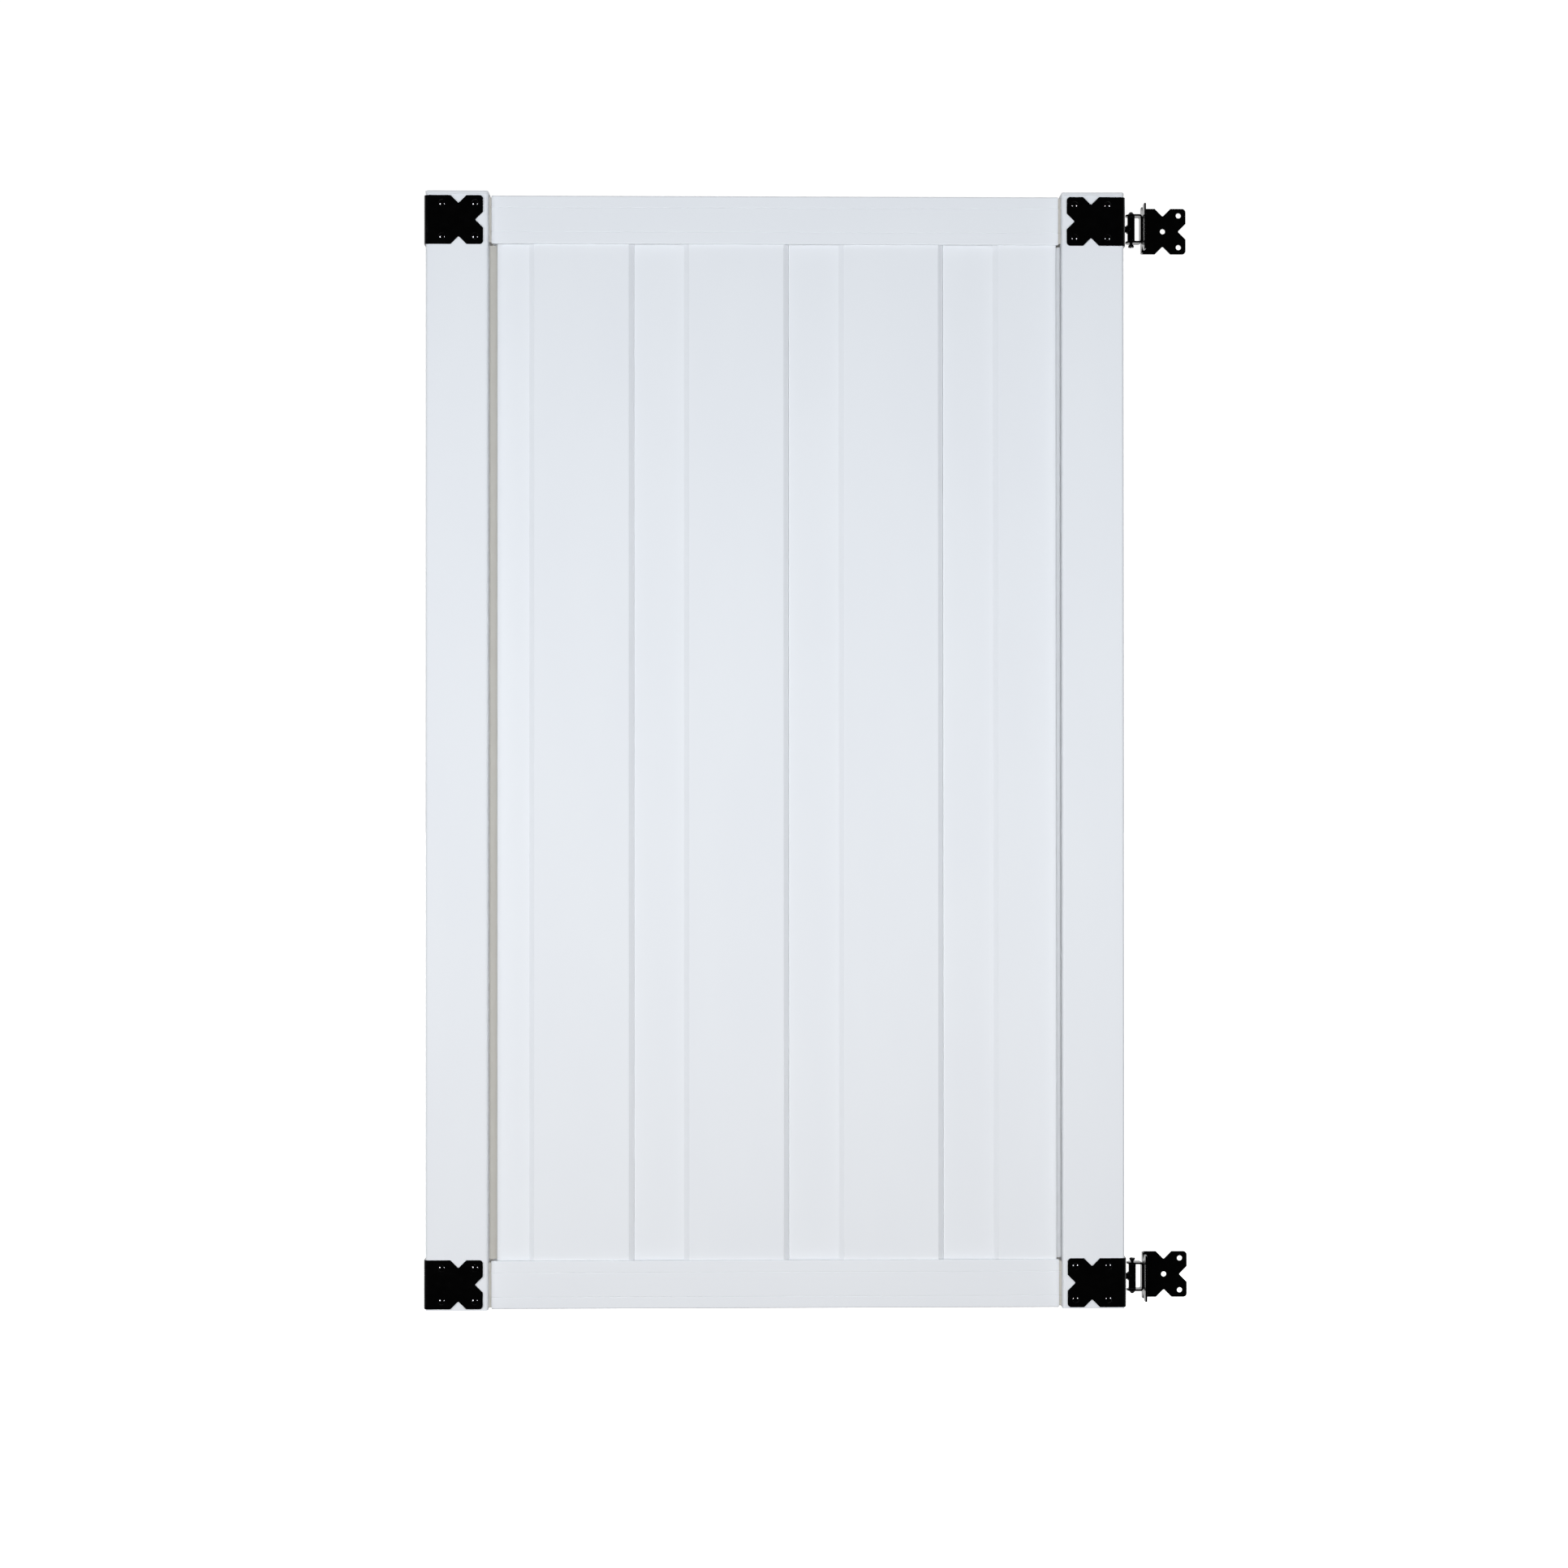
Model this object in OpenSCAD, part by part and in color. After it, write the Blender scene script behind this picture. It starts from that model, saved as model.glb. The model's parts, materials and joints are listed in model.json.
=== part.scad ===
// Vinyl privacy gate: a leaf of tongue-and-groove boards between two box
// uprights and two box rails, hung on two self-closing hinges with post plates.
// X runs along the leaf towards the post, Y through it to the side it opens
// to, Z up. The origin is midway between the two outer bolt holes of the lower
// post plate, on the face that lies against the post.

/* [Leaf] */
// Width of the leaf over both uprights
gate_w = 1143; // [900:1:1400]
// Height of the leaf, caps included
gate_h = 1829; // [1200:1:2100]

/* [Uprights] */
// Width of an upright, along the leaf
upright_w = 102; // [98:1:130]
// Depth of an upright, through the leaf
upright_d = 64; // [58:1:80]
// Wall of an upright
upright_wall = 3; // [2.4:0.1:4]
// Outer corner radius of an upright
upright_r = 5; // [4:0.5:7]
// Thickness of the flat cap on an upright
cap_t = 5; // [3:0.5:8]
// Depth of the cap's plug inside the upright
cap_plug = 9; // [6:0.5:12]
// Thickness of the aluminium channel inside an upright
stiffener_t = 2; // [1.5:0.1:2.5]

/* [Rails] */
// Height of a rail
rail_h = 79; // [72:1:95]
// Depth of a rail, through the leaf
rail_d = 40; // [38:0.5:48]
// Wall of a rail
rail_wall = 2.5; // [2:0.1:3]
// Depth of the pocket that holds the boards, to the middle of its inner web
rail_pocket = 19.5; // [16:0.5:24]
// Wall of the aluminium tube inside a rail
rail_tube_t = 1.6; // [1.2:0.1:2.4]
// Gap between a rail's end and the upright, filled by the end bracket
rail_end_gap = 4.5; // [3:0.5:8]
// Length of the end bracket's sleeve inside the rail
sleeve_l = 35; // [25:1:50]

/* [Boards] */
// Width of the narrow, set back face of a board
narrow_w = 82; // [70:0.1:90]
// Width of the bevel between the two faces
bevel_w = 8.6; // [6:0.1:14]
// Thickness of a board at its set back face
narrow_t = 20.5; // [20:0.5:24]
// Thickness of a board at its raised face
wide_t = 32; // [28:0.5:32]
// Wall of a board
board_wall = 2; // [1.6:0.1:2.4]
// Width trimmed off the first board
first_trim = 29.6; // [15:0.1:35]
// Width trimmed off the last board
last_trim = 68.4; // [40:0.1:75]
// Gap between the first board and its upright
first_gap = 13; // [8:0.5:20]
// Gap between the last board and its upright
last_gap = 8; // [4:0.5:12]
// Thickness of the side channel that enters the boards
channel_t = 12; // [10:0.5:14]
// How far the side channel enters a board
channel_grip = 12; // [8:0.5:14]

/* [Leaf brackets] */
// Thickness of the bracket sheet
bracket_t = 2.5; // [2:0.1:3.5]
// Height of a bracket
bracket_h = 80; // [72:1:90]
// Reach of a bracket across the upright
bracket_reach = 94; // [88:1:96]
// Distance from a bracket to the end of the upright
bracket_inset = 3; // [2:0.5:10]
// Screw spacing, both ways
screw_pitch = 54; // [46:0.5:58]
// Opening width of the V notches
notch_w = 26; // [18:0.5:28]

/* [Hinges] */
// Gap between the leaf's upright and the post
post_gap = 41; // [40:0.5:55]
// Distance of the pin axis in front of the uprights' back face
pin_setback = 7; // [4:0.5:9]
// Hinge pin diameter
pin_d = 5; // [4.5:0.1:5.6]
// Barrel outer diameter
barrel_d = 12.4; // [11.8:0.1:13.4]
// Barrel wall
barrel_wall = 1.4; // [1.2:0.1:1.6]
// Diameter of the threaded stud that joins the barrel to the leaf
stud_d = 10.5; // [8:0.5:11]
// Height between the clevis ears
ear_gap = 41.4; // [36:0.2:50]
// Thickness of the clevis and post plates
plate_t = 3; // [2.5:0.1:4]
// Height of a post plate
post_plate_h = 76; // [68:1:86]
// Width of a post plate along the post's back face
post_plate_w = 76; // [70:1:90]
// Depth of the flange along the post's side
post_flange_d = 48; // [42:1:56]
// Bolt hole diameter in a post plate
bolt_d = 8.5; // [6.5:0.1:9]
// Offset of the outer bolt holes from the plate's middle hole, both ways
bolt_offset = 26.5; // [24:0.5:28]

/* [Hidden] */
$fn = 48;

board_count = 4;
cut = 1;              // overlap of a cutting solid past the face it cuts
seat_clear = 0.15;    // between a pressed sheet and what it wraps
slip_clear = 0.3;     // between pieces that slide into each other
axial_clear = 0.3;    // end play beside an ear, a bush or a crown
run_clear = 0.05;     // radial running clearance of the pin
hole_clear = 0.15;    // radial clearance of a screw or stud in its hole
root_blend = 0.98;    // how far out a V's flanks meet its root circle

// Uprights and rails
tube_h = gate_h - cap_t;
clear_w = gate_w - 2 * upright_w;
mid_y = upright_d / 2;
bore_w = upright_w - 2 * upright_wall;
bore_d = upright_d - 2 * upright_wall;
cap_lip = 0.5;
cap_bevel = 1;
cap_wall = 2;
rail_l = clear_w - 2 * rail_end_gap;
rail_r = 2.5;
rail_web = 2;
rail_line_w = 1.4;
rail_line_d = 0.6;
cell_d = rail_d - 2 * rail_wall;
cell_h = rail_h - 2 * rail_pocket - rail_web;
mouth_w = wide_t + 2 * 0.6;
mouth_lip = 2.5;

// End brackets of the rails
bracket_face_inset = 2.5;
sleeve_wall = 2.5;
sleeve_d = cell_d - 2 * slip_clear;
sleeve_h = cell_h - 2 * slip_clear;
tube_inset = sleeve_l + 5;

// Boards
board_pitch = (clear_w - first_gap - last_gap + first_trim + last_trim) / board_count;
wide_w = board_pitch - narrow_w - 2 * bevel_w;
joint_gap = 0.3;
joint_t = narrow_t - 2;
shoulder_w = 1.2;
tongue_t = 9;
tongue_l = 8.5;
groove_clear = 0.3;
groove_l = tongue_l + 2;
rib_t = 1.8;
rib_inset = 30;
board_z = rail_h - rail_pocket + rail_web / 2;
board_play = 3;
board_l = tube_h - 2 * board_z - board_play;
channel_wall = 2;
channel_end = 1;

// Screws
truss_r = 5.5;
truss_dome = 2.2;
truss_rim = 0.8;
cross_l = 5;
cross_w = 1.2;
cross_d = 1.5;
screw_r = 2.4;
bracket_screw_l = 20;
pan_r = 3.6;
pan_h = 2.4;
channel_screw_r = 1.9;
channel_screw_l = 13;
channel_screw_count = 5;
channel_screw_end = 90;
rail_screw_r = 2.2;
rail_screw_l = 15;
rail_screw_pitch = 18;

// Leaf brackets
bracket_arm_r = 6;
notch_r = 2;
bracket_mid_x = -(bracket_reach - bracket_h / 2);
bracket_mid_z = bracket_inset + bracket_h / 2;
wrap = bracket_t + seat_clear;
stiffener_leg = bracket_reach - upright_wall;

// Hinges, in a frame at the pin axis and the hinge's mid height
pin_x = post_gap / 2;
pin_y = upright_d - pin_setback;
ear_in = ear_gap / 2;
ear_out = ear_in + plate_t;
ear_r = 9.5;
flange_x = post_gap / 2 - plate_t;
seat_y = 15;
bend_r = 2;
barrel_bore = barrel_d - 2 * barrel_wall;
bush_flange = 1.2;
bush_l = 4;
barrel_half = ear_in - axial_clear - bush_flange;
stud_l = pin_x + upright_wall;
head_h = 4.5;
head_r1 = 2.3;
head_r2 = 6;
crown_gap = 2;
crown_h = 4.4;
crown_r = 4.7;
crown_neck_r = 3.6;
crown_neck_h = 1.8;
crown_slot_w = 1.2;
crown_slot_d = 1.4;
crown_slots = 3;
wire_d = 1.2;
spring_turns = 16;
spring_sides = 6;
spring_steps = 12;
flange_notch_w = 20;
post_hole_x = 37.5;

// Place of the origin, measured from the leaf's lower left front corner
origin_x = gate_w + pin_x + flange_x + post_hole_x + bolt_offset;
origin_y = pin_y + seat_y;
origin_z = bracket_mid_z;

// ---- frames ----

module leaf_frame() {
    translate([-origin_x, -origin_y, -origin_z]) children();
}

// x = 0 is an upright's outer face and x runs outwards
module right_side() {
    leaf_frame() translate([gate_w, 0, 0]) children();
}

module left_side() {
    leaf_frame() mirror([1, 0, 0]) children();
}

module flip_top() {
    translate([0, 0, tube_h]) mirror([0, 0, 1]) children();
}

// The lower hinge has its crown on top and the upper hinge has it below
module lower_hinge() {
    right_side() translate([pin_x, pin_y, bracket_mid_z]) children();
}

module upper_hinge() {
    right_side() translate([pin_x, pin_y, tube_h - bracket_mid_z]) mirror([0, 0, 1]) children();
}

// ---- shared shapes ----

module rounded_rect(w, d, r) {
    square([w - 2 * r, d], center = true);
    square([w, d - 2 * r], center = true);
    for (x = [-1, 1], y = [-1, 1])
        translate([x * (w / 2 - r), y * (d / 2 - r)]) circle(r);
}

// What is cut away to round a corner at the origin, the solid lying at -x, -y
module corner_waste(r) {
    difference() {
        translate([-r, -r]) square(r + cut);
        translate([-r, -r]) circle(r);
    }
}

// A 45 degree V that opens at y = 0 and points along +y, with a round root.
// Its flanks end just inside the root circle, so that they cross it cleanly.
module vee(w, r) {
    flank = root_blend * r;
    root = w / 2 - flank * sqrt(2);
    flank_end = flank / sqrt(2);
    polygon([
        [-w / 2 - cut, -cut], [w / 2 + cut, -cut],
        [flank_end, root + flank_end], [-flank_end, root + flank_end]
    ]);
    translate([0, root]) circle(r);
}

// Drawing plane x, z cut through y from y0 to y1
module through_y(y0, y1) {
    translate([0, y1, 0]) rotate([90, 0, 0]) linear_extrude(y1 - y0) children();
}

// Drawing plane y, z cut through x from x0 to x1
module through_x(x0, x1) {
    translate([x0, 0, 0]) rotate([90, 0, 90]) linear_extrude(x1 - x0) children();
}

module truss_screw(l, r) {
    ball_r = (truss_r * truss_r + truss_dome * truss_dome) / (2 * truss_dome);
    difference() {
        union() {
            cylinder(h = truss_rim, r = truss_r);
            intersection() {
                translate([0, 0, truss_rim + truss_dome - ball_r]) sphere(ball_r);
                translate([0, 0, truss_rim]) cylinder(h = truss_dome + cut, r = truss_r);
            }
        }
        translate([0, 0, truss_rim + truss_dome]) {
            cube([cross_l, cross_w, 2 * cross_d], center = true);
            cube([cross_w, cross_l, 2 * cross_d], center = true);
        }
    }
    translate([0, 0, -(l - 2 * r)]) cylinder(h = l - 2 * r, r = r);
    translate([0, 0, -l]) cylinder(h = 2 * r, r1 = 0.2 * r, r2 = r);
}

module pan_screw(l, r) {
    difference() {
        cylinder(h = pan_h, r = pan_r);
        translate([0, 0, pan_h]) {
            cube([pan_r, cross_w, pan_h], center = true);
            cube([cross_w, pan_r, pan_h], center = true);
        }
    }
    translate([0, 0, -(l - 2 * r)]) cylinder(h = l - 2 * r, r = r);
    translate([0, 0, -l]) cylinder(h = 2 * r, r1 = 0.2 * r, r2 = r);
}

// ---- uprights ----

// Screw places on a bracket's face, around its middle
module bracket_screw_places() {
    for (x = [-1, 1], z = [-1, 1])
        translate([bracket_mid_x + x * screw_pitch / 2, 0, bracket_mid_z + z * screw_pitch / 2]) children();
}

module bracket_screw_bores() {
    bracket_screw_places()
        translate([0, -wrap - cut, 0]) rotate([-90, 0, 0])
            cylinder(h = upright_d + 2 * (wrap + cut), r = screw_r + hole_clear);
}

module stud_bore() {
    translate([wrap + cut, pin_y, bracket_mid_z]) rotate([0, -90, 0])
        cylinder(h = wrap + cut + upright_wall, r = stud_d / 2 + hole_clear);
}

module channel_screw_places() {
    span = tube_h - 2 * channel_screw_end;
    for (i = [0 : channel_screw_count - 1])
        translate([-upright_w, mid_y, channel_screw_end + i * span / (channel_screw_count - 1)]) children();
}

module rail_screw_places() {
    for (z = [-1, 1])
        translate([-upright_w, mid_y, rail_h / 2 + z * rail_screw_pitch / 2]) children();
}

module inner_wall_bore(r) {
    translate([-cut, 0, 0]) rotate([0, 90, 0]) cylinder(h = upright_wall + 2 * cut, r = r);
}

module side_tube(with_stud) {
    difference() {
        translate([-upright_w / 2, mid_y, 0]) difference() {
            linear_extrude(tube_h) rounded_rect(upright_w, upright_d, upright_r);
            translate([0, 0, -cut]) linear_extrude(tube_h + 2 * cut)
                rounded_rect(bore_w, bore_d, upright_r - upright_wall);
        }
        bracket_screw_bores();
        flip_top() bracket_screw_bores();
        rail_screw_places() inner_wall_bore(rail_screw_r + hole_clear);
        flip_top() rail_screw_places() inner_wall_bore(rail_screw_r + hole_clear);
        channel_screw_places() inner_wall_bore(channel_screw_r + hole_clear);
        if (with_stud) {
            stud_bore();
            flip_top() stud_bore();
        }
    }
}

module side_cap() {
    w = upright_w + 2 * cap_lip;
    d = upright_d + 2 * cap_lip;
    plug_w = bore_w - 2 * slip_clear;
    plug_d = bore_d - 2 * slip_clear;
    plug_r = upright_r - upright_wall;
    translate([-upright_w / 2, mid_y, tube_h]) {
        difference() {
            linear_extrude(cap_t) rounded_rect(w, d, upright_r + cap_lip);
            for (x = [-1, 1])
                translate([x * w / 2, 0, cap_t]) rotate([0, 45, 0])
                    cube([cap_bevel * sqrt(2), d + cut, cap_bevel * sqrt(2)], center = true);
            for (y = [-1, 1])
                translate([0, y * d / 2, cap_t]) rotate([45, 0, 0])
                    cube([w + cut, cap_bevel * sqrt(2), cap_bevel * sqrt(2)], center = true);
        }
        translate([0, 0, -cap_plug]) difference() {
            linear_extrude(cap_plug) rounded_rect(plug_w, plug_d, plug_r);
            translate([0, 0, -cut]) linear_extrude(cap_plug + cut)
                rounded_rect(plug_w - 2 * cap_wall, plug_d - 2 * cap_wall, plug_r / 2);
        }
    }
}

// A C channel whose back lies along the outer wall
module side_stiffener() {
    w = bore_w - 2 * slip_clear;
    d = bore_d - 2 * slip_clear;
    r = upright_r - upright_wall;
    stiffener_h = tube_h - 2 * (cap_plug + slip_clear);
    difference() {
        translate([-upright_w / 2, mid_y, cap_plug + slip_clear]) difference() {
            linear_extrude(stiffener_h) rounded_rect(w, d, r);
            translate([0, 0, -cut]) linear_extrude(stiffener_h + 2 * cut)
                rounded_rect(w - 2 * stiffener_t, d - 2 * stiffener_t, r / 4);
        }
        translate([-upright_w, 0, 0]) cube([upright_w - upright_wall - stiffener_leg, upright_d, tube_h]);
        bracket_screw_bores();
        flip_top() bracket_screw_bores();
    }
}

module left_upright() {
    color("white") left_side() side_tube(false);
}

module right_upright() {
    color("white") right_side() side_tube(true);
}

module left_upright_cap() {
    color("gainsboro") left_side() side_cap();
}

module right_upright_cap() {
    color("gainsboro") right_side() side_cap();
}

module left_upright_stiffener() {
    color("silver") left_side() side_stiffener();
}

module right_upright_stiffener() {
    color("silver") right_side() side_stiffener();
}

// ---- rails ----

// Section of the bottom rail: y across, z up, the board pocket open at the top
module rail_section() {
    pocket_z = rail_h - rail_pocket;
    difference() {
        translate([0, rail_h / 2]) rounded_rect(rail_d, rail_h, rail_r);
        translate([-cell_d / 2, rail_wall]) square([cell_d, rail_pocket - rail_wall - rail_web / 2]);
        translate([-cell_d / 2, rail_pocket + rail_web / 2]) square([cell_d, cell_h]);
        translate([-cell_d / 2, pocket_z + rail_web / 2])
            square([cell_d, rail_pocket - rail_web / 2 - mouth_lip]);
        translate([-mouth_w / 2, pocket_z + rail_web / 2]) square([mouth_w, rail_pocket + cut]);
        rail_lines(rail_d);
    }
}

// The two fine lines along each face, at the inner webs
module rail_lines(d) {
    for (y = [-1, 1], z = [rail_pocket, rail_h - rail_pocket])
        translate([y * d / 2, z])
            polygon([[0, -rail_line_w / 2], [0, rail_line_w / 2], [-y * rail_line_d, 0]]);
}

module rail_body() {
    translate([upright_w + rail_end_gap, mid_y, 0]) through_x(0, rail_l) rail_section();
}

module rail_tube() {
    l = rail_l - 2 * tube_inset;
    translate([upright_w + rail_end_gap + tube_inset, mid_y, rail_h / 2]) through_x(0, l) difference() {
        square([sleeve_d, sleeve_h], center = true);
        square([sleeve_d - 2 * rail_tube_t, sleeve_h - 2 * rail_tube_t], center = true);
    }
}

module top_rail() {
    color("white") leaf_frame() flip_top() rail_body();
}

module bottom_rail() {
    color("white") leaf_frame() rail_body();
}

module top_rail_tube() {
    color("silver") leaf_frame() flip_top() rail_tube();
}

module bottom_rail_tube() {
    color("silver") leaf_frame() rail_tube();
}

// A flange against the upright with a sleeve that the rail slides over
module rail_bracket() {
    flange_d = rail_d - 2 * bracket_face_inset;
    flange_h = rail_h - 2 * bracket_face_inset;
    flange_l = rail_end_gap - seat_clear;
    difference() {
        translate([-upright_w, mid_y, 0]) mirror([1, 0, 0]) {
            through_x(0, flange_l) difference() {
                translate([0, rail_h / 2]) square([flange_d, flange_h], center = true);
                rail_lines(flange_d);
            }
            through_x(flange_l, rail_end_gap + sleeve_l) translate([0, rail_h / 2]) difference() {
                square([sleeve_d, sleeve_h], center = true);
                square([sleeve_d - 2 * sleeve_wall, sleeve_h - 2 * sleeve_wall], center = true);
            }
        }
        rail_screw_places() translate([cut, 0, 0]) rotate([0, -90, 0])
            cylinder(h = flange_l + 2 * cut, r = rail_screw_r + hole_clear);
    }
}

module top_left_rail_bracket() {
    color("darkgray") left_side() flip_top() rail_bracket();
}

module top_right_rail_bracket() {
    color("darkgray") right_side() flip_top() rail_bracket();
}

module bottom_left_rail_bracket() {
    color("darkgray") left_side() rail_bracket();
}

module bottom_right_rail_bracket() {
    color("darkgray") right_side() rail_bracket();
}

module rail_screw_pair() {
    rail_screw_places() translate([-(rail_end_gap - seat_clear), 0, 0]) rotate([0, -90, 0])
        pan_screw(rail_screw_l, rail_screw_r);
}

module rail_bracket_screws() {
    color("gray") {
        left_side() rail_screw_pair();
        right_side() rail_screw_pair();
        left_side() flip_top() rail_screw_pair();
        right_side() flip_top() rail_screw_pair();
    }
}

// ---- side channels ----

// A U channel, its back on the upright and its legs inside the board
module side_channel(gap) {
    w = gap + channel_grip;
    z0 = rail_h + channel_end;
    difference() {
        translate([-upright_w - w, mid_y - channel_t / 2, z0]) difference() {
            cube([w, channel_t, tube_h - 2 * z0]);
            translate([-cut, channel_wall, -cut])
                cube([w - channel_wall + cut, channel_t - 2 * channel_wall, tube_h]);
        }
        channel_screw_places() translate([cut, 0, 0]) rotate([0, -90, 0])
            cylinder(h = channel_wall + 2 * cut, r = channel_screw_r + hole_clear);
    }
}

module left_side_channel() {
    color("darkgray") left_side() side_channel(first_gap);
}

module right_side_channel() {
    color("darkgray") right_side() side_channel(last_gap);
}

module channel_screw_row() {
    channel_screw_places() translate([-channel_wall, 0, 0]) rotate([0, -90, 0])
        pan_screw(channel_screw_l, channel_screw_r);
}

module side_channel_screws() {
    color("gray") {
        left_side() channel_screw_row();
        right_side() channel_screw_row();
    }
}

// ---- boards ----

// Right edge of the raised face, from the board's left joint
function wide_end() = narrow_w + bevel_w + wide_w;

// Upper half of a board's outline, from its groove to its tongue
board_edge = [
    [0, tongue_t / 2 + groove_clear],
    [0, joint_t / 2],
    [shoulder_w, narrow_t / 2],
    [narrow_w, narrow_t / 2],
    [narrow_w + bevel_w, wide_t / 2],
    [wide_end(), wide_t / 2],
    [board_pitch - joint_gap, joint_t / 2],
    [board_pitch - joint_gap, tongue_t / 2],
    [board_pitch + tongue_l, tongue_t / 2]
];

// Upper half of the hollow inside a board
hollow_edge = [
    [groove_l + board_wall, narrow_t / 2 - board_wall],
    [narrow_w, narrow_t / 2 - board_wall],
    [narrow_w + bevel_w, wide_t / 2 - board_wall],
    [wide_end(), wide_t / 2 - board_wall],
    [board_pitch - joint_gap - board_wall, (joint_t - board_wall) / 2]
];

rib_places = [
    narrow_w - rib_inset,
    narrow_w + bevel_w,
    narrow_w + bevel_w + wide_w / 4,
    narrow_w + bevel_w + 3 * wide_w / 4,
    wide_end()
];

// An outline closed with its own mirror image
function mirrored(edge) = concat(edge, [for (i = [len(edge) - 1 : -1 : 0]) [edge[i][0], -edge[i][1]]]);

module board_section() {
    difference() {
        polygon(concat([[groove_l, tongue_t / 2 + groove_clear]], mirrored(board_edge),
            [[groove_l, -tongue_t / 2 - groove_clear]]));
        difference() {
            polygon(mirrored(hollow_edge));
            for (x = rib_places)
                translate([x - rib_t / 2, -wide_t / 2]) square([rib_t, wide_t]);
        }
    }
}

module board(index) {
    x0 = upright_w + first_gap - first_trim + index * board_pitch;
    left = index == 0 ? first_trim : -cut;
    right = index == board_count - 1 ? board_pitch - last_trim : board_pitch + tongue_l + cut;
    color("white") leaf_frame() translate([x0, mid_y, board_z]) linear_extrude(board_l)
        intersection() {
            board_section();
            translate([left, -wide_t]) square([right - left, 2 * wide_t]);
        }
}

module board_1() {
    board(0);
}

module board_2() {
    board(1);
}

module board_3() {
    board(2);
}

module board_4() {
    board(3);
}

// ---- leaf brackets ----

// A sheet wrapped round the upright, cut to an X on the front and on the back
module wrap_bracket(with_stud) {
    z1 = bracket_inset + bracket_h;
    difference() {
        translate([0, 0, bracket_inset]) linear_extrude(bracket_h) difference() {
            translate([-upright_w / 2, mid_y])
                rounded_rect(upright_w + 2 * wrap, upright_d + 2 * wrap, upright_r + wrap);
            translate([-upright_w / 2, mid_y])
                rounded_rect(upright_w + 2 * seat_clear, upright_d + 2 * seat_clear, upright_r + seat_clear);
            translate([-2 * upright_w, -upright_d]) square([2 * upright_w - bracket_reach, 3 * upright_d]);
        }
        through_y(-wrap - cut, upright_d + wrap + cut) {
            translate([bracket_mid_x, bracket_inset]) vee(notch_w, notch_r);
            translate([bracket_mid_x, z1]) rotate(180) vee(notch_w, notch_r);
            translate([-bracket_reach, bracket_mid_z]) rotate(-90) vee(notch_w, notch_r);
            translate([-bracket_reach, z1]) rotate(90) corner_waste(bracket_arm_r);
            translate([-bracket_reach, bracket_inset]) rotate(180) corner_waste(bracket_arm_r);
        }
        bracket_screw_bores();
        if (with_stud) stud_bore();
    }
}

// Four screws in the front of a bracket and four in its back
module bracket_screw_set() {
    bracket_screw_places() {
        translate([0, -wrap, 0]) rotate([90, 0, 0]) truss_screw(bracket_screw_l, screw_r);
        translate([0, upright_d + wrap, 0]) rotate([-90, 0, 0]) truss_screw(bracket_screw_l, screw_r);
    }
}

module upper_latch_bracket() {
    color("black") left_side() flip_top() wrap_bracket(false);
}

module lower_latch_bracket() {
    color("black") left_side() wrap_bracket(false);
}

module upper_hinge_bracket() {
    color("black") right_side() flip_top() wrap_bracket(true);
}

module lower_hinge_bracket() {
    color("black") right_side() wrap_bracket(true);
}

module upper_latch_bracket_screws() {
    color("black") left_side() flip_top() bracket_screw_set();
}

module lower_latch_bracket_screws() {
    color("black") left_side() bracket_screw_set();
}

module upper_hinge_bracket_screws() {
    color("black") right_side() flip_top() bracket_screw_set();
}

module lower_hinge_bracket_screws() {
    color("black") right_side() bracket_screw_set();
}

// ---- hinges ----

// The spring housing with the stud that screws into the leaf bracket
module barrel() {
    difference() {
        union() {
            cylinder(h = 2 * barrel_half, r = barrel_d / 2, center = true);
            rotate([0, -90, 0]) cylinder(h = stud_l, r = stud_d / 2);
        }
        cylinder(h = 2 * (barrel_half + cut), r = barrel_bore / 2, center = true);
    }
}

// A flanged bush in the crown end of the barrel
module bush() {
    difference() {
        union() {
            translate([0, 0, barrel_half]) cylinder(h = bush_flange, r = barrel_d / 2);
            translate([0, 0, barrel_half - bush_l]) cylinder(h = bush_l, r = barrel_bore / 2 - run_clear);
        }
        translate([0, 0, barrel_half - bush_l - cut])
            cylinder(h = bush_l + bush_flange + 2 * cut, r = pin_d / 2 + run_clear);
    }
}

// A close wound torsion spring between the bushes
module spring() {
    half = barrel_half - bush_l - axial_clear - wire_d / 2;
    r = (barrel_bore - wire_d) / 2 - slip_clear;
    steps = spring_turns * spring_steps;
    points = [
        for (i = [0 : steps])
            let (a = 360 * i / spring_steps, z = -half + 2 * half * i / steps)
            for (j = [0 : spring_sides - 1])
                let (b = 360 * j / spring_sides, q = r + wire_d / 2 * cos(b))
                [q * cos(a), q * sin(a), z + wire_d / 2 * sin(b)]
    ];
    sides = [
        for (i = [0 : steps - 1], j = [0 : spring_sides - 1])
            let (k = (j + 1) % spring_sides, m = i * spring_sides, n = m + spring_sides)
            [m + j, n + j, n + k, m + k]
    ];
    first_end = [[for (j = [0 : spring_sides - 1]) j]];
    last_end = [[for (j = [spring_sides - 1 : -1 : 0]) steps * spring_sides + j]];
    polyhedron(points, concat(sides, first_end, last_end));
}

// The pin runs through both ears, its cone head at the end away from the crown
module pin() {
    tip = ear_out + crown_gap + crown_h - crown_slot_d;
    translate([0, 0, -ear_out - axial_clear]) cylinder(h = tip + ear_out + axial_clear, r = pin_d / 2);
    translate([0, 0, -ear_out - axial_clear - head_h]) cylinder(h = head_h, r1 = head_r1, r2 = head_r2);
}

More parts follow.
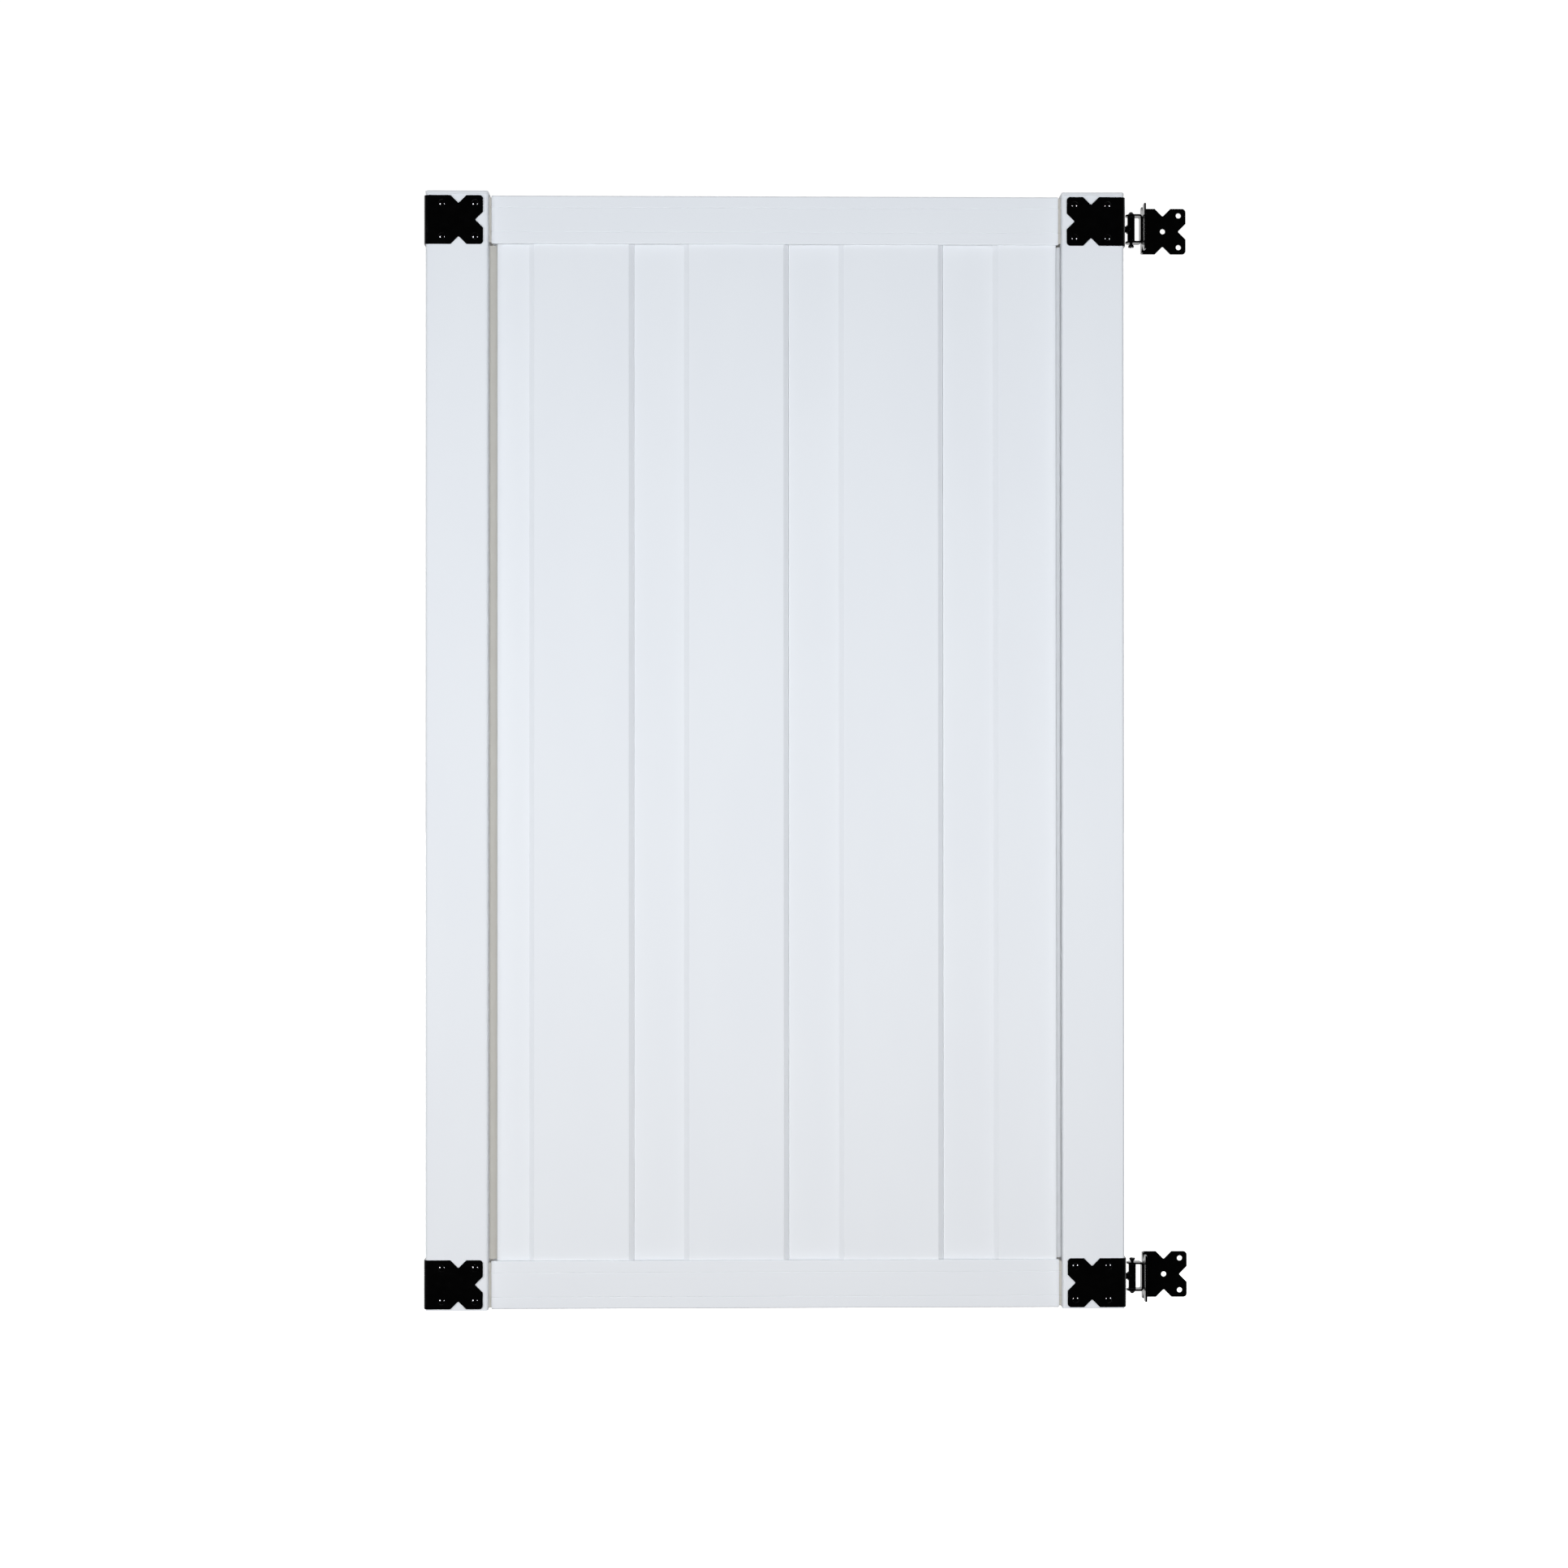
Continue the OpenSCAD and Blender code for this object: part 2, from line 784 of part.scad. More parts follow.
// The castellated crown that winds the spring
module crown() {
    translate([0, 0, ear_out + crown_gap]) difference() {
        union() {
            cylinder(h = crown_neck_h, r1 = crown_neck_r, r2 = crown_r);
            translate([0, 0, crown_neck_h]) cylinder(h = crown_h - crown_neck_h, r = crown_r);
        }
        translate([0, 0, -cut]) cylinder(h = crown_h + 2 * cut, r = pin_d / 2 + run_clear);
        for (i = [0 : crown_slots - 1])
            translate([0, 0, crown_h]) rotate(i * 180 / crown_slots)
                cube([3 * crown_r, crown_slot_w, 2 * crown_slot_d], center = true);
    }
}

// A strip bent to a U, its back on the post flange and its ears on the pin
module clevis() {
    outer_r = bend_r + plate_t;
    back_x = flange_x;
    difference() {
        intersection() {
            through_y(-ear_r, ear_r) difference() {
                translate([back_x / 2 - 2 * ear_r, 0])
                    rounded_rect(back_x + 4 * ear_r, 2 * ear_out, outer_r);
                translate([back_x / 2 - 2 * ear_r - plate_t, 0])
                    rounded_rect(back_x + 4 * ear_r, 2 * ear_in, bend_r);
            }
            linear_extrude(4 * ear_out, center = true) {
                circle(ear_r);
                translate([0, -ear_r]) square([back_x, 2 * ear_r]);
            }
        }
        cylinder(h = 4 * ear_out, r = pin_d / 2 + run_clear, center = true);
    }
}

// An X shaped plate for the post's back, with a flange along the post's side
module post_plate() {
    back_y = seat_y + plate_t;
    near_y = back_y - post_flange_d;
    right_x = flange_x + post_plate_w;
    hole_x = flange_x + post_hole_x;
    half_h = post_plate_h / 2;
    outer_r = bend_r + plate_t;
    difference() {
        linear_extrude(post_plate_h, center = true) difference() {
            translate([flange_x + post_plate_w, back_y - post_plate_w])
                rounded_rect(2 * post_plate_w, 2 * post_plate_w, outer_r);
            translate([flange_x + post_plate_w + plate_t, back_y - post_plate_w - plate_t])
                rounded_rect(2 * post_plate_w, 2 * post_plate_w, bend_r);
            translate([right_x, back_y - 2 * post_plate_w])
                square([2 * post_plate_w, 3 * post_plate_w]);
            translate([flange_x - cut, near_y - 2 * post_plate_w])
                square([3 * post_plate_w, 2 * post_plate_w]);
        }
        through_y(seat_y - cut, back_y + cut) {
            translate([hole_x, -half_h]) vee(notch_w, notch_r);
            translate([hole_x, half_h]) rotate(180) vee(notch_w, notch_r);
            translate([right_x, 0]) rotate(90) vee(notch_w, notch_r);
            translate([right_x, half_h]) corner_waste(bracket_arm_r);
            translate([right_x, -half_h]) rotate(-90) corner_waste(bracket_arm_r);
        }
        through_x(flange_x - cut, flange_x + plate_t + cut) {
            translate([(near_y + back_y) / 2, -half_h]) vee(flange_notch_w, notch_r);
            translate([(near_y + back_y) / 2, half_h]) rotate(180) vee(flange_notch_w, notch_r);
            translate([near_y, half_h]) rotate(90) corner_waste(bend_r);
            translate([near_y, -half_h]) rotate(180) corner_waste(bend_r);
        }
        for (place = [[0, 0], [bolt_offset, bolt_offset], [bolt_offset, -bolt_offset]])
            translate([hole_x + place[0], back_y + cut, place[1]]) rotate([90, 0, 0])
                cylinder(h = plate_t + 2 * cut, r = bolt_d / 2);
    }
}

module upper_hinge_barrel() {
    color("black") upper_hinge() barrel();
}

module lower_hinge_barrel() {
    color("black") lower_hinge() barrel();
}

module upper_hinge_crown_bush() {
    color("dimgray") upper_hinge() bush();
}

module lower_hinge_crown_bush() {
    color("dimgray") lower_hinge() bush();
}

module upper_hinge_head_bush() {
    color("dimgray") upper_hinge() mirror([0, 0, 1]) bush();
}

module lower_hinge_head_bush() {
    color("dimgray") lower_hinge() mirror([0, 0, 1]) bush();
}

module upper_hinge_spring() {
    color("gray") upper_hinge() spring();
}

module lower_hinge_spring() {
    color("gray") lower_hinge() spring();
}

module upper_hinge_pin() {
    color("black") upper_hinge() pin();
}

module lower_hinge_pin() {
    color("black") lower_hinge() pin();
}

module upper_hinge_crown() {
    color("black") upper_hinge() crown();
}

module lower_hinge_crown() {
    color("black") lower_hinge() crown();
}

module upper_hinge_clevis() {
    color("black") upper_hinge() clevis();
}

module lower_hinge_clevis() {
    color("black") lower_hinge() clevis();
}

module upper_post_plate() {
    color("black") upper_hinge() post_plate();
}

module lower_post_plate() {
    color("black") lower_hinge() post_plate();
}

left_upright();
right_upright();
left_upright_cap();
right_upright_cap();
left_upright_stiffener();
right_upright_stiffener();
top_rail();
bottom_rail();
top_rail_tube();
bottom_rail_tube();
top_left_rail_bracket();
top_right_rail_bracket();
bottom_left_rail_bracket();
bottom_right_rail_bracket();
rail_bracket_screws();
left_side_channel();
right_side_channel();
side_channel_screws();
board_1();
board_2();
board_3();
board_4();
upper_latch_bracket();
lower_latch_bracket();
upper_hinge_bracket();
lower_hinge_bracket();
upper_latch_bracket_screws();
lower_latch_bracket_screws();
upper_hinge_bracket_screws();
lower_hinge_bracket_screws();
upper_hinge_barrel();
lower_hinge_barrel();
upper_hinge_crown_bush();
lower_hinge_crown_bush();
upper_hinge_head_bush();
lower_hinge_head_bush();
upper_hinge_spring();
lower_hinge_spring();
upper_hinge_pin();
lower_hinge_pin();
upper_hinge_crown();
lower_hinge_crown();
upper_hinge_clevis();
lower_hinge_clevis();
upper_post_plate();
lower_post_plate();
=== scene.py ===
import json
import math

import bmesh
import bpy
import numpy as np
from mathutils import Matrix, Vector


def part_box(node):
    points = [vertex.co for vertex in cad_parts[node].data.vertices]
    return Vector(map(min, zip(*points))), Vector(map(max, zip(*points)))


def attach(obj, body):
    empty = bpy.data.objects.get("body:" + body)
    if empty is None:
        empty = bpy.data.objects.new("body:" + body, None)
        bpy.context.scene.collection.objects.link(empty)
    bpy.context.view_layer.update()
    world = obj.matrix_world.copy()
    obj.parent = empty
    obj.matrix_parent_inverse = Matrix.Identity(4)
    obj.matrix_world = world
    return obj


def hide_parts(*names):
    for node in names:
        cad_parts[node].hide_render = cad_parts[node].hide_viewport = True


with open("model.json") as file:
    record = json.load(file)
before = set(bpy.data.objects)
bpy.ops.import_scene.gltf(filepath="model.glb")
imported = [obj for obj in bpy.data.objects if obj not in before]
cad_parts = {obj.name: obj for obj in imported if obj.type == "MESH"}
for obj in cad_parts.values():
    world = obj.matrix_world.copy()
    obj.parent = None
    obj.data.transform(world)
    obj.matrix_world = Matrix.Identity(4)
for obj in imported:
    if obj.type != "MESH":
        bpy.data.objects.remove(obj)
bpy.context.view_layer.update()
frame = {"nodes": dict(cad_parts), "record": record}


# millimetres to metres, one value or several
def mm(*values):
    scaled = tuple(v * 0.001 for v in values)
    return scaled[0] if len(scaled) == 1 else scaled


# an sRGB hex colour as linear RGBA
def hexColour(code):
    parts = [int(code[i:i + 2], 16) / 255 for i in (1, 3, 5)]
    return tuple(c / 12.92 if c <= 0.04045 else ((c + 0.055) / 1.055) ** 2.4 for c in parts) + (1,)


# adds a node, sets its properties, and sets or links its inputs
def addNode(tree, kind, settings=None, inputs=None):
    made = tree.nodes.new(kind)
    made.location = (220 * (len(tree.nodes) % 9), -260 * (len(tree.nodes) // 9))
    for key, value in (settings or {}).items():
        setattr(made, key, value)
    for key, value in (inputs or {}).items():
        if isinstance(value, bpy.types.NodeSocket):
            tree.links.new(value, made.inputs[key])
        else:
            made.inputs[key].default_value = value
    return made


def startMaterial(name):
    made = bpy.data.materials.new(name)
    made.use_nodes = True
    made.node_tree.nodes.clear()
    return made, made.node_tree


# object coordinates divided by a real size in millimetres along X, Y and Z
def placeInMillimetres(tree, stretch):
    place = addNode(tree, "ShaderNodeTexCoord")
    return addNode(tree, "ShaderNodeMapping", {}, {
        "Vector": place.outputs["Object"],
        "Scale": tuple(1000 / size for size in stretch)}).outputs["Vector"]


def finishMaterial(tree, shader):
    addNode(tree, "ShaderNodeOutputMaterial", {}, {"Surface": shader.outputs["BSDF"]})


# two near colours mixed slowly, a roughness that wanders, and up to two reliefs
def surfaceMaterial(name, settings):
    noiseLow, noiseHigh = 0.3, 0.7  # the noise seldom leaves this range
    made, tree = startMaterial(name)
    slow = addNode(tree, "ShaderNodeTexNoise", {}, {
        "Vector": placeInMillimetres(tree, settings["mottleSize"]), "Scale": 1.0, "Detail": 2.0})
    colour = addNode(tree, "ShaderNodeMix", {"data_type": "RGBA"}, {
        0: slow.outputs[0],
        6: hexColour(settings["colours"][0]), 7: hexColour(settings["colours"][1])})
    rough = addNode(tree, "ShaderNodeMapRange", {}, {
        "Value": slow.outputs[0], "From Min": noiseLow, "From Max": noiseHigh,
        "To Min": settings["roughness"][0], "To Max": settings["roughness"][1]})
    normal = None
    for relief in settings["reliefs"]:
        grain = addNode(tree, "ShaderNodeTexNoise", {}, {
            "Vector": placeInMillimetres(tree, relief["size"]), "Scale": 1.0, "Detail": relief["detail"]})
        inputs = {"Height": grain.outputs[0], "Strength": relief["strength"], "Distance": mm(relief["depth"])}
        if normal:
            inputs["Normal"] = normal
        normal = addNode(tree, "ShaderNodeBump", {}, inputs).outputs["Normal"]
    shader = addNode(tree, "ShaderNodeBsdfPrincipled", {}, {
        "Base Color": colour.outputs[2], "Roughness": rough.outputs["Result"], "Normal": normal,
        "Metallic": settings["metallic"], "IOR": settings["ior"], **settings.get("coat", {})})
    finishMaterial(tree, shader)
    return made


def makeMaterials():
    # extruded rigid PVC: drawn through a polished die, so satin white with hair fine lines along its length
    extruded = {"colours": ("#e9ebee", "#eceef0"), "mottleSize": (90, 90, 260),
                "roughness": (0.6, 0.68), "metallic": 0.0, "ior": 1.53, "reliefs": [
                    {"size": (2.6, 2.6, 700), "detail": 2.0, "strength": 0.25, "depth": 0.02},  # die lines
                    {"size": (45, 45, 160), "detail": 1.0, "strength": 0.35, "depth": 0.12}]}  # wall's waver
    along = dict(extruded, mottleSize=(260, 90, 90), reliefs=[
        {"size": (700, 2.6, 2.6), "detail": 2.0, "strength": 0.25, "depth": 0.02},
        {"size": (160, 45, 45), "detail": 1.0, "strength": 0.35, "depth": 0.12}])
    # injection moulded PVC: a steel tool's fine even grain, a little less bright than the extrusions
    moulded = {"colours": ("#e2e4e5", "#e6e7e9"), "mottleSize": (30, 30, 30), "roughness": (0.55, 0.62),
               "metallic": 0.0, "ior": 1.53, "reliefs": [
                   {"size": (0.7, 0.7, 0.7), "detail": 2.0, "strength": 0.2, "depth": 0.02}]}
    # the left channel and the rail ends: the moulded vinyl made darker and warmer, as painted shade for their
    # recess beside the upright
    channel = dict(moulded, colours=("#c5c1b9", "#cac7bf"), roughness=(0.6, 0.68))
    # polyester powder coat baked on steel: deep gloss black with the soft dimple of orange peel
    coated = {"colours": ("#020202", "#030303"), "mottleSize": (12, 12, 12), "roughness": (0.16, 0.24),
              "metallic": 0.0, "ior": 1.5, "reliefs": [
                  {"size": (1.9, 1.9, 1.9), "detail": 1.0, "strength": 0.15, "depth": 0.008}]}
    # black chromate over zinc plate with a clear sealer, on a forged head: dark metal with pinpoint lights
    sealed = {"colours": ("#6e6e70", "#78787a"), "mottleSize": (4, 4, 4), "roughness": (0.1, 0.14),
              "metallic": 1.0, "ior": 1.5,
              "coat": {"Coat Weight": 1.0, "Coat Roughness": 0.06, "Coat IOR": 1.8}, "reliefs": [
                  {"size": (1.2, 1.2, 1.2), "detail": 1.0, "strength": 0.1, "depth": 0.004}]}
    # blackened turned steel, oiled: dark grey metal with the lathe's fine rings across its length
    blackened = {"colours": ("#131314", "#1b1b1c"), "mottleSize": (5, 5, 5), "roughness": (0.32, 0.42),
                 "metallic": 0.6, "ior": 1.5, "reliefs": [
                     {"size": (40, 40, 0.4), "detail": 1.0, "strength": 0.25, "depth": 0.01}]}
    # mill finish extruded aluminium: pale metal with drawn lines along the channel
    mill = {"colours": ("#c9cbcd", "#d6d7d8"), "mottleSize": (30, 30, 200), "roughness": (0.32, 0.45),
            "metallic": 1.0, "ior": 1.5, "reliefs": [
                {"size": (0.8, 0.8, 300), "detail": 2.0, "strength": 0.3, "depth": 0.015}]}
    millAlong = dict(mill, mottleSize=(200, 30, 30), reliefs=[
        {"size": (300, 0.8, 0.8), "detail": 2.0, "strength": 0.3, "depth": 0.015}])
    # bright zinc plate on a steel screw: light grey, slightly cloudy
    zinc = {"colours": ("#b4b7bb", "#c8cacb"), "mottleSize": (3, 3, 3), "roughness": (0.28, 0.42),
            "metallic": 1.0, "ior": 1.5, "reliefs": [
                {"size": (0.8, 0.8, 0.8), "detail": 1.0, "strength": 0.2, "depth": 0.008}]}
    # oil tempered spring wire: dark, with a light film of oil
    wire = {"colours": ("#575553", "#6b6966"), "mottleSize": (2, 2, 2), "roughness": (0.26, 0.36),
            "metallic": 1.0, "ior": 1.5, "reliefs": [
                {"size": (0.5, 0.5, 0.5), "detail": 1.0, "strength": 0.15, "depth": 0.006}]}
    # moulded nylon: dull black with a waxy, even skin
    nylon = {"colours": ("#111112", "#19191a"), "mottleSize": (3, 3, 3), "roughness": (0.45, 0.55),
             "metallic": 0.0, "ior": 1.53, "reliefs": [
                 {"size": (0.5, 0.5, 0.5), "detail": 1.0, "strength": 0.15, "depth": 0.01}]}
    recipes = {"extrudedVinyl": extruded, "extrudedVinylAlong": along,
               "mouldedVinyl": moulded, "recessShadeVinyl": channel,
               "blackPowderCoat": coated, "blackZincPlate": sealed, "blackenedSteel": blackened,
               "millAluminium": mill, "millAluminiumAlong": millAlong, "zincPlate": zinc,
               "temperedWire": wire, "mouldedNylon": nylon}
    return {name: surfaceMaterial(name, recipe) for name, recipe in recipes.items()}


materials = makeMaterials()
print("materials", len(materials))


bodyOf = {node: body for body, members in frame["record"]["behaviour"]["bodies"].items() for node in members}
slotOf = {part["node"]: part["material_slot"] for part in frame["record"]["subparts"]}


def finishOf(node):
    slot = slotOf[node]
    along = node.startswith(("top_rail", "bottom_rail"))
    if slot == "white_vinyl":
        return "extrudedVinylAlong" if along else "extrudedVinyl"
    if slot == "aluminium":
        return "millAluminiumAlong" if along else "millAluminium"
    # painted shade: the left channel and rail ends take the darker, warmer vinyl that stands for the shade of
    # their recess; the right channel keeps the plain moulded vinyl
    if node == "left_side_channel" or node.endswith("_rail_bracket"):
        return "recessShadeVinyl"
    if slot == "black_coated_steel" and node.endswith(("_pin", "_crown")):
        return "blackenedSteel"
    if slot == "black_coated_steel" and node.endswith("_screws"):
        return "blackZincPlate"
    return {"moulded_vinyl": "mouldedVinyl", "black_coated_steel": "blackPowderCoat",
            "zinc_screws": "zincPlate", "spring_steel": "temperedWire", "nylon": "mouldedNylon"}[slot]


def smoothWithEdges(mesh, degrees):
    mesh.shade_smooth()
    mesh.set_sharp_from_angle(angle=math.radians(degrees))


# the piece with its modifiers made real
def plainMesh(piece):
    shown = bpy.context.evaluated_depsgraph_get()
    shown.update()
    made = bpy.data.meshes.new_from_object(piece.evaluated_get(shown), preserve_all_data_layers=True,
                                           depsgraph=shown)
    piece.modifiers.clear()
    old, piece.data = piece.data, made
    bpy.data.meshes.remove(old)
    return piece


# millimetres within which corners join, and degrees for flat faces and for smooth shading
edgeFinish = {"joinWithin": 0.002, "flatWithin": 0.4, "segments": 2, "shadeWithin": 35}


# a copy of a CAD node as one connected skin of flat faces
def weldedCopy(node, name):
    skin = bmesh.new()
    skin.from_mesh(frame["nodes"][node].data)
    bmesh.ops.remove_doubles(skin, verts=skin.verts, dist=mm(edgeFinish["joinWithin"]))
    bmesh.ops.dissolve_limit(skin, angle_limit=math.radians(edgeFinish["flatWithin"]),
                             verts=skin.verts, edges=skin.edges)
    mesh = bpy.data.meshes.new(name)
    skin.to_mesh(mesh)
    skin.free()
    piece = bpy.data.objects.new(name, mesh)
    bpy.context.scene.collection.objects.link(piece)
    return piece


# shades across edges flatter than an angle, with the broadest face at a corner deciding the most
def calmNormals(mesh, degrees):
    smoothWithEdges(mesh, degrees)
    normals = np.array([tuple(p.normal) for p in mesh.polygons])
    areas = np.array([p.area for p in mesh.polygons])
    around = [[] for _ in mesh.vertices]
    for face in mesh.polygons:
        for v in face.vertices:
            around[v].append(face.index)
    nearby = math.cos(math.radians(degrees))
    corners = np.zeros((len(mesh.loops), 3))
    tiny = 1e-20  # a corner between slivers divides by this, not by zero
    for face in mesh.polygons:
        own = normals[face.index]
        for loop, v in zip(face.loop_indices, face.vertices):
            faces = [f for f in around[v] if normals[f] @ own > nearby] or [face.index]
            total = (normals[faces] * areas[faces][:, None]).sum(0)
            corners[loop] = total / max(np.linalg.norm(total), tiny)
    mesh.normals_split_custom_set(corners.tolist())


# rounds every edge sharper than an angle, as a die, a saw's deburring or a coat of powder leaves it
def brokenEdges(piece, radius, fromAngle):
    bevel = piece.modifiers.new("brokenEdges", "BEVEL")
    bevel.width = mm(radius)
    bevel.segments = edgeFinish["segments"]
    bevel.limit_method = "ANGLE"
    bevel.angle_limit = math.radians(fromAngle)
    bevel.use_clamp_overlap = False
    plainMesh(piece)
    calmNormals(piece.data, edgeFinish["shadeWithin"])


# a rounded corner that stands a hair proud goes back to the node's own box
def keepInBox(mesh, low, high):
    for v in mesh.vertices:
        v.co = [min(max(v.co[i], low[i]), high[i]) for i in range(3)]


def finishedPiece(node, radius, fromAngle):
    piece = weldedCopy(node, node + "_finished")
    brokenEdges(piece, radius, fromAngle)
    keepInBox(piece.data, *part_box(node))
    piece.data.materials.clear()
    piece.data.materials.append(materials[finishOf(node)])
    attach(piece, bodyOf[node])
    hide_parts(node)
    return piece


# radius of the broken edge in millimetres, and the angle from which an edge counts
edgeRadii = {
    "upright": (0.35, 40), "upright_cap": (0.45, 40), "rail": (0.22, 48), "board": (0.5, 20),
    "side_channel": (0.3, 40), "bracket": (0.45, 40), "post_plate": (0.45, 40), "clevis": (0.35, 40),
    "barrel": (0.3, 40), "pin": (0.2, 40), "crown": (0.18, 40), "bush": (0.12, 40),
}


def edgeOf(node):
    if node.startswith("board_"):
        return edgeRadii["board"]
    for ending, values in edgeRadii.items():
        if node.endswith("_" + ending):
            return values
    return None


leftOut = ("screws", "spring", "stiffener", "rail_tube", "rail_bracket")
finished = {}
for node in sorted(frame["nodes"]):
    if edgeOf(node) and not node.endswith(leftOut):
        finished[node] = finishedPiece(node, *edgeOf(node))
print("finished pieces", len(finished))


# a tree with named inputs, and its input node
def startTree(name, sockets):
    tree = bpy.data.node_groups.new(name, "GeometryNodeTree")
    tree.interface.new_socket("Geometry", in_out="INPUT", socket_type="NodeSocketGeometry")
    for label, kind in sockets:
        tree.interface.new_socket(label, in_out="INPUT", socket_type=kind)
    tree.interface.new_socket("Geometry", in_out="OUTPUT", socket_type="NodeSocketGeometry")
    return tree, addNode(tree, "NodeGroupInput").outputs


def endTree(tree, geometry, given):
    realized = addNode(tree, "GeometryNodeRealizeInstances", {}, {"Geometry": geometry})
    dressed = addNode(tree, "GeometryNodeSetMaterial", {}, {
        "Geometry": realized.outputs[0], "Material": given["Material"]})
    addNode(tree, "NodeGroupOutput", {}, {0: dressed.outputs[0]})


# a new object whose mesh is what the tree makes of the mesh it is given
def grow(name, mesh, tree, values):
    piece = bpy.data.objects.new(name, mesh)
    bpy.context.scene.collection.objects.link(piece)
    modifier = piece.modifiers.new(tree.name, "NODES")
    modifier.node_group = tree
    for item in tree.interface.items_tree:
        if item.in_out == "INPUT" and item.name in values:
            modifier[item.identifier] = values[item.name]
    return plainMesh(piece)


def vectorOf(tree, x=0.0, y=0.0, z=0.0):
    return addNode(tree, "ShaderNodeCombineXYZ", {}, {0: x, 1: y, 2: z}).outputs[0]


screw = {"headRadius": 5.5, "dome": 1.75, "rim": 0.95, "rimRound": 0.3, "shankRadius": 2.4, "length": 20.0,
         "crossLength": 5.0, "crossWidth": 1.2, "crossDepth": 1.5, "tip": 0.4, "tipRise": 0.1,
         "facets": 40, "domeSteps": 9, "shadeWithin": 38, "seed": 3, "backSeed": 9}


# one screw turned about Z, the head's seat at the origin and the point below
def trussScrew():
    rise, reach = screw["dome"], screw["headRadius"]
    ball = (reach * reach + rise * rise) / (2 * rise)
    half = math.asin(reach / ball)
    edge = screw["rimRound"]
    outline = [(0.0, screw["rim"] + rise)]
    for i in range(1, screw["domeSteps"]):
        angle = half * i / screw["domeSteps"]
        outline.append((ball * math.sin(angle), screw["rim"] + rise - ball * (1 - math.cos(angle))))
    outline += [(reach - edge * 0.6, screw["rim"] + edge * 0.35),  # the rim is rounded in three steps
                (reach - edge * 0.15, screw["rim"] - edge * 0.1),
                (reach, screw["rim"] - edge), (reach, edge * 0.5), (reach - edge * 0.5, 0.0),
                (screw["shankRadius"], 0.0),
                (screw["shankRadius"], -(screw["length"] - 2 * screw["shankRadius"])),
                (screw["tip"], -screw["length"] + screw["tipRise"]), (0.0, -screw["length"])]
    turned = bmesh.new()
    rings = []
    for radius, height in outline:
        count = screw["facets"] if radius > 0 else 1
        rings.append([turned.verts.new(mm(radius * math.cos(2 * math.pi * k / count),
                                          radius * math.sin(2 * math.pi * k / count), height))
                      for k in range(count)])
    for upper, lower in zip(rings, rings[1:]):
        for k in range(screw["facets"]):
            n = (k + 1) % screw["facets"]
            corners = [upper[k % len(upper)], lower[k % len(lower)],
                       lower[n % len(lower)], upper[n % len(upper)]]
            turned.faces.new(list(dict.fromkeys(corners)))
    bmesh.ops.recalc_face_normals(turned, faces=turned.faces)
    mesh = bpy.data.meshes.new("trussScrew")
    turned.to_mesh(mesh)
    turned.free()
    smoothWithEdges(mesh, screw["shadeWithin"])
    return mesh


# cuts the cross in a head and sets four screws in a bracket's front and four in its back
def screwTree():
    tree, given = startTree("screwSet", [
        ("Pitch", "NodeSocketFloat"), ("Middle", "NodeSocketVector"), ("Front", "NodeSocketFloat"),
        ("Back", "NodeSocketFloat"), ("Cross Length", "NodeSocketFloat"), ("Cross Width", "NodeSocketFloat"),
        ("Cross Depth", "NodeSocketFloat"), ("Head Top", "NodeSocketFloat"), ("Seed", "NodeSocketInt"),
        ("Material", "NodeSocketMaterial")])
    depth = addNode(tree, "ShaderNodeMath", {"operation": "MULTIPLY"}, {
        0: given["Cross Depth"], 1: 2.0}).outputs[0]
    top = vectorOf(tree, z=given["Head Top"])
    bars = []
    for x, y in (("Cross Length", "Cross Width"), ("Cross Width", "Cross Length")):
        bar = addNode(tree, "GeometryNodeMeshCube", {}, {"Size": vectorOf(tree, given[x], given[y], depth)})
        bars.append(addNode(tree, "GeometryNodeTransform", {}, {
            "Geometry": bar.outputs[0], "Translation": top}))
    cross = addNode(tree, "GeometryNodeMeshBoolean", {"operation": "UNION", "solver": "EXACT"})
    for bar in bars:
        tree.links.new(bar.outputs[0], cross.inputs["Mesh 2"])
    head = addNode(tree, "GeometryNodeMeshBoolean", {"operation": "DIFFERENCE", "solver": "EXACT"}, {
        "Mesh 1": given["Geometry"], "Mesh 2": cross.outputs[0]}).outputs[0]
    sides = []
    for turn, plane, seed in ((math.pi / 2, "Front", 0), (-math.pi / 2, "Back", screw["backSeed"])):
        grid = addNode(tree, "GeometryNodeMeshGrid", {}, {
            "Size X": given["Pitch"], "Size Y": given["Pitch"], "Vertices X": 2, "Vertices Y": 2})
        draw = addNode(tree, "ShaderNodeMath", {"operation": "ADD"}, {0: given["Seed"], 1: float(seed)})
        spin = addNode(tree, "FunctionNodeRandomValue", {"data_type": "FLOAT"}, {
            2: 0.0, 3: math.pi / 2, "Seed": draw.outputs[0]})
        placed = addNode(tree, "GeometryNodeInstanceOnPoints", {}, {
            "Points": grid.outputs[0], "Instance": head, "Rotation": vectorOf(tree, z=spin.outputs[1])})
        turned = addNode(tree, "GeometryNodeTransform", {}, {
            "Geometry": placed.outputs[0], "Rotation": (turn, 0, 0),
            "Translation": vectorOf(tree, y=given[plane])})
        sides.append(turned.outputs[0])
    both = addNode(tree, "GeometryNodeJoinGeometry")
    for side in sides:
        tree.links.new(side, both.inputs[0])
    moved = addNode(tree, "GeometryNodeTransform", {}, {
        "Geometry": both.outputs[0], "Translation": given["Middle"]})
    endTree(tree, moved.outputs[0], given)
    return tree


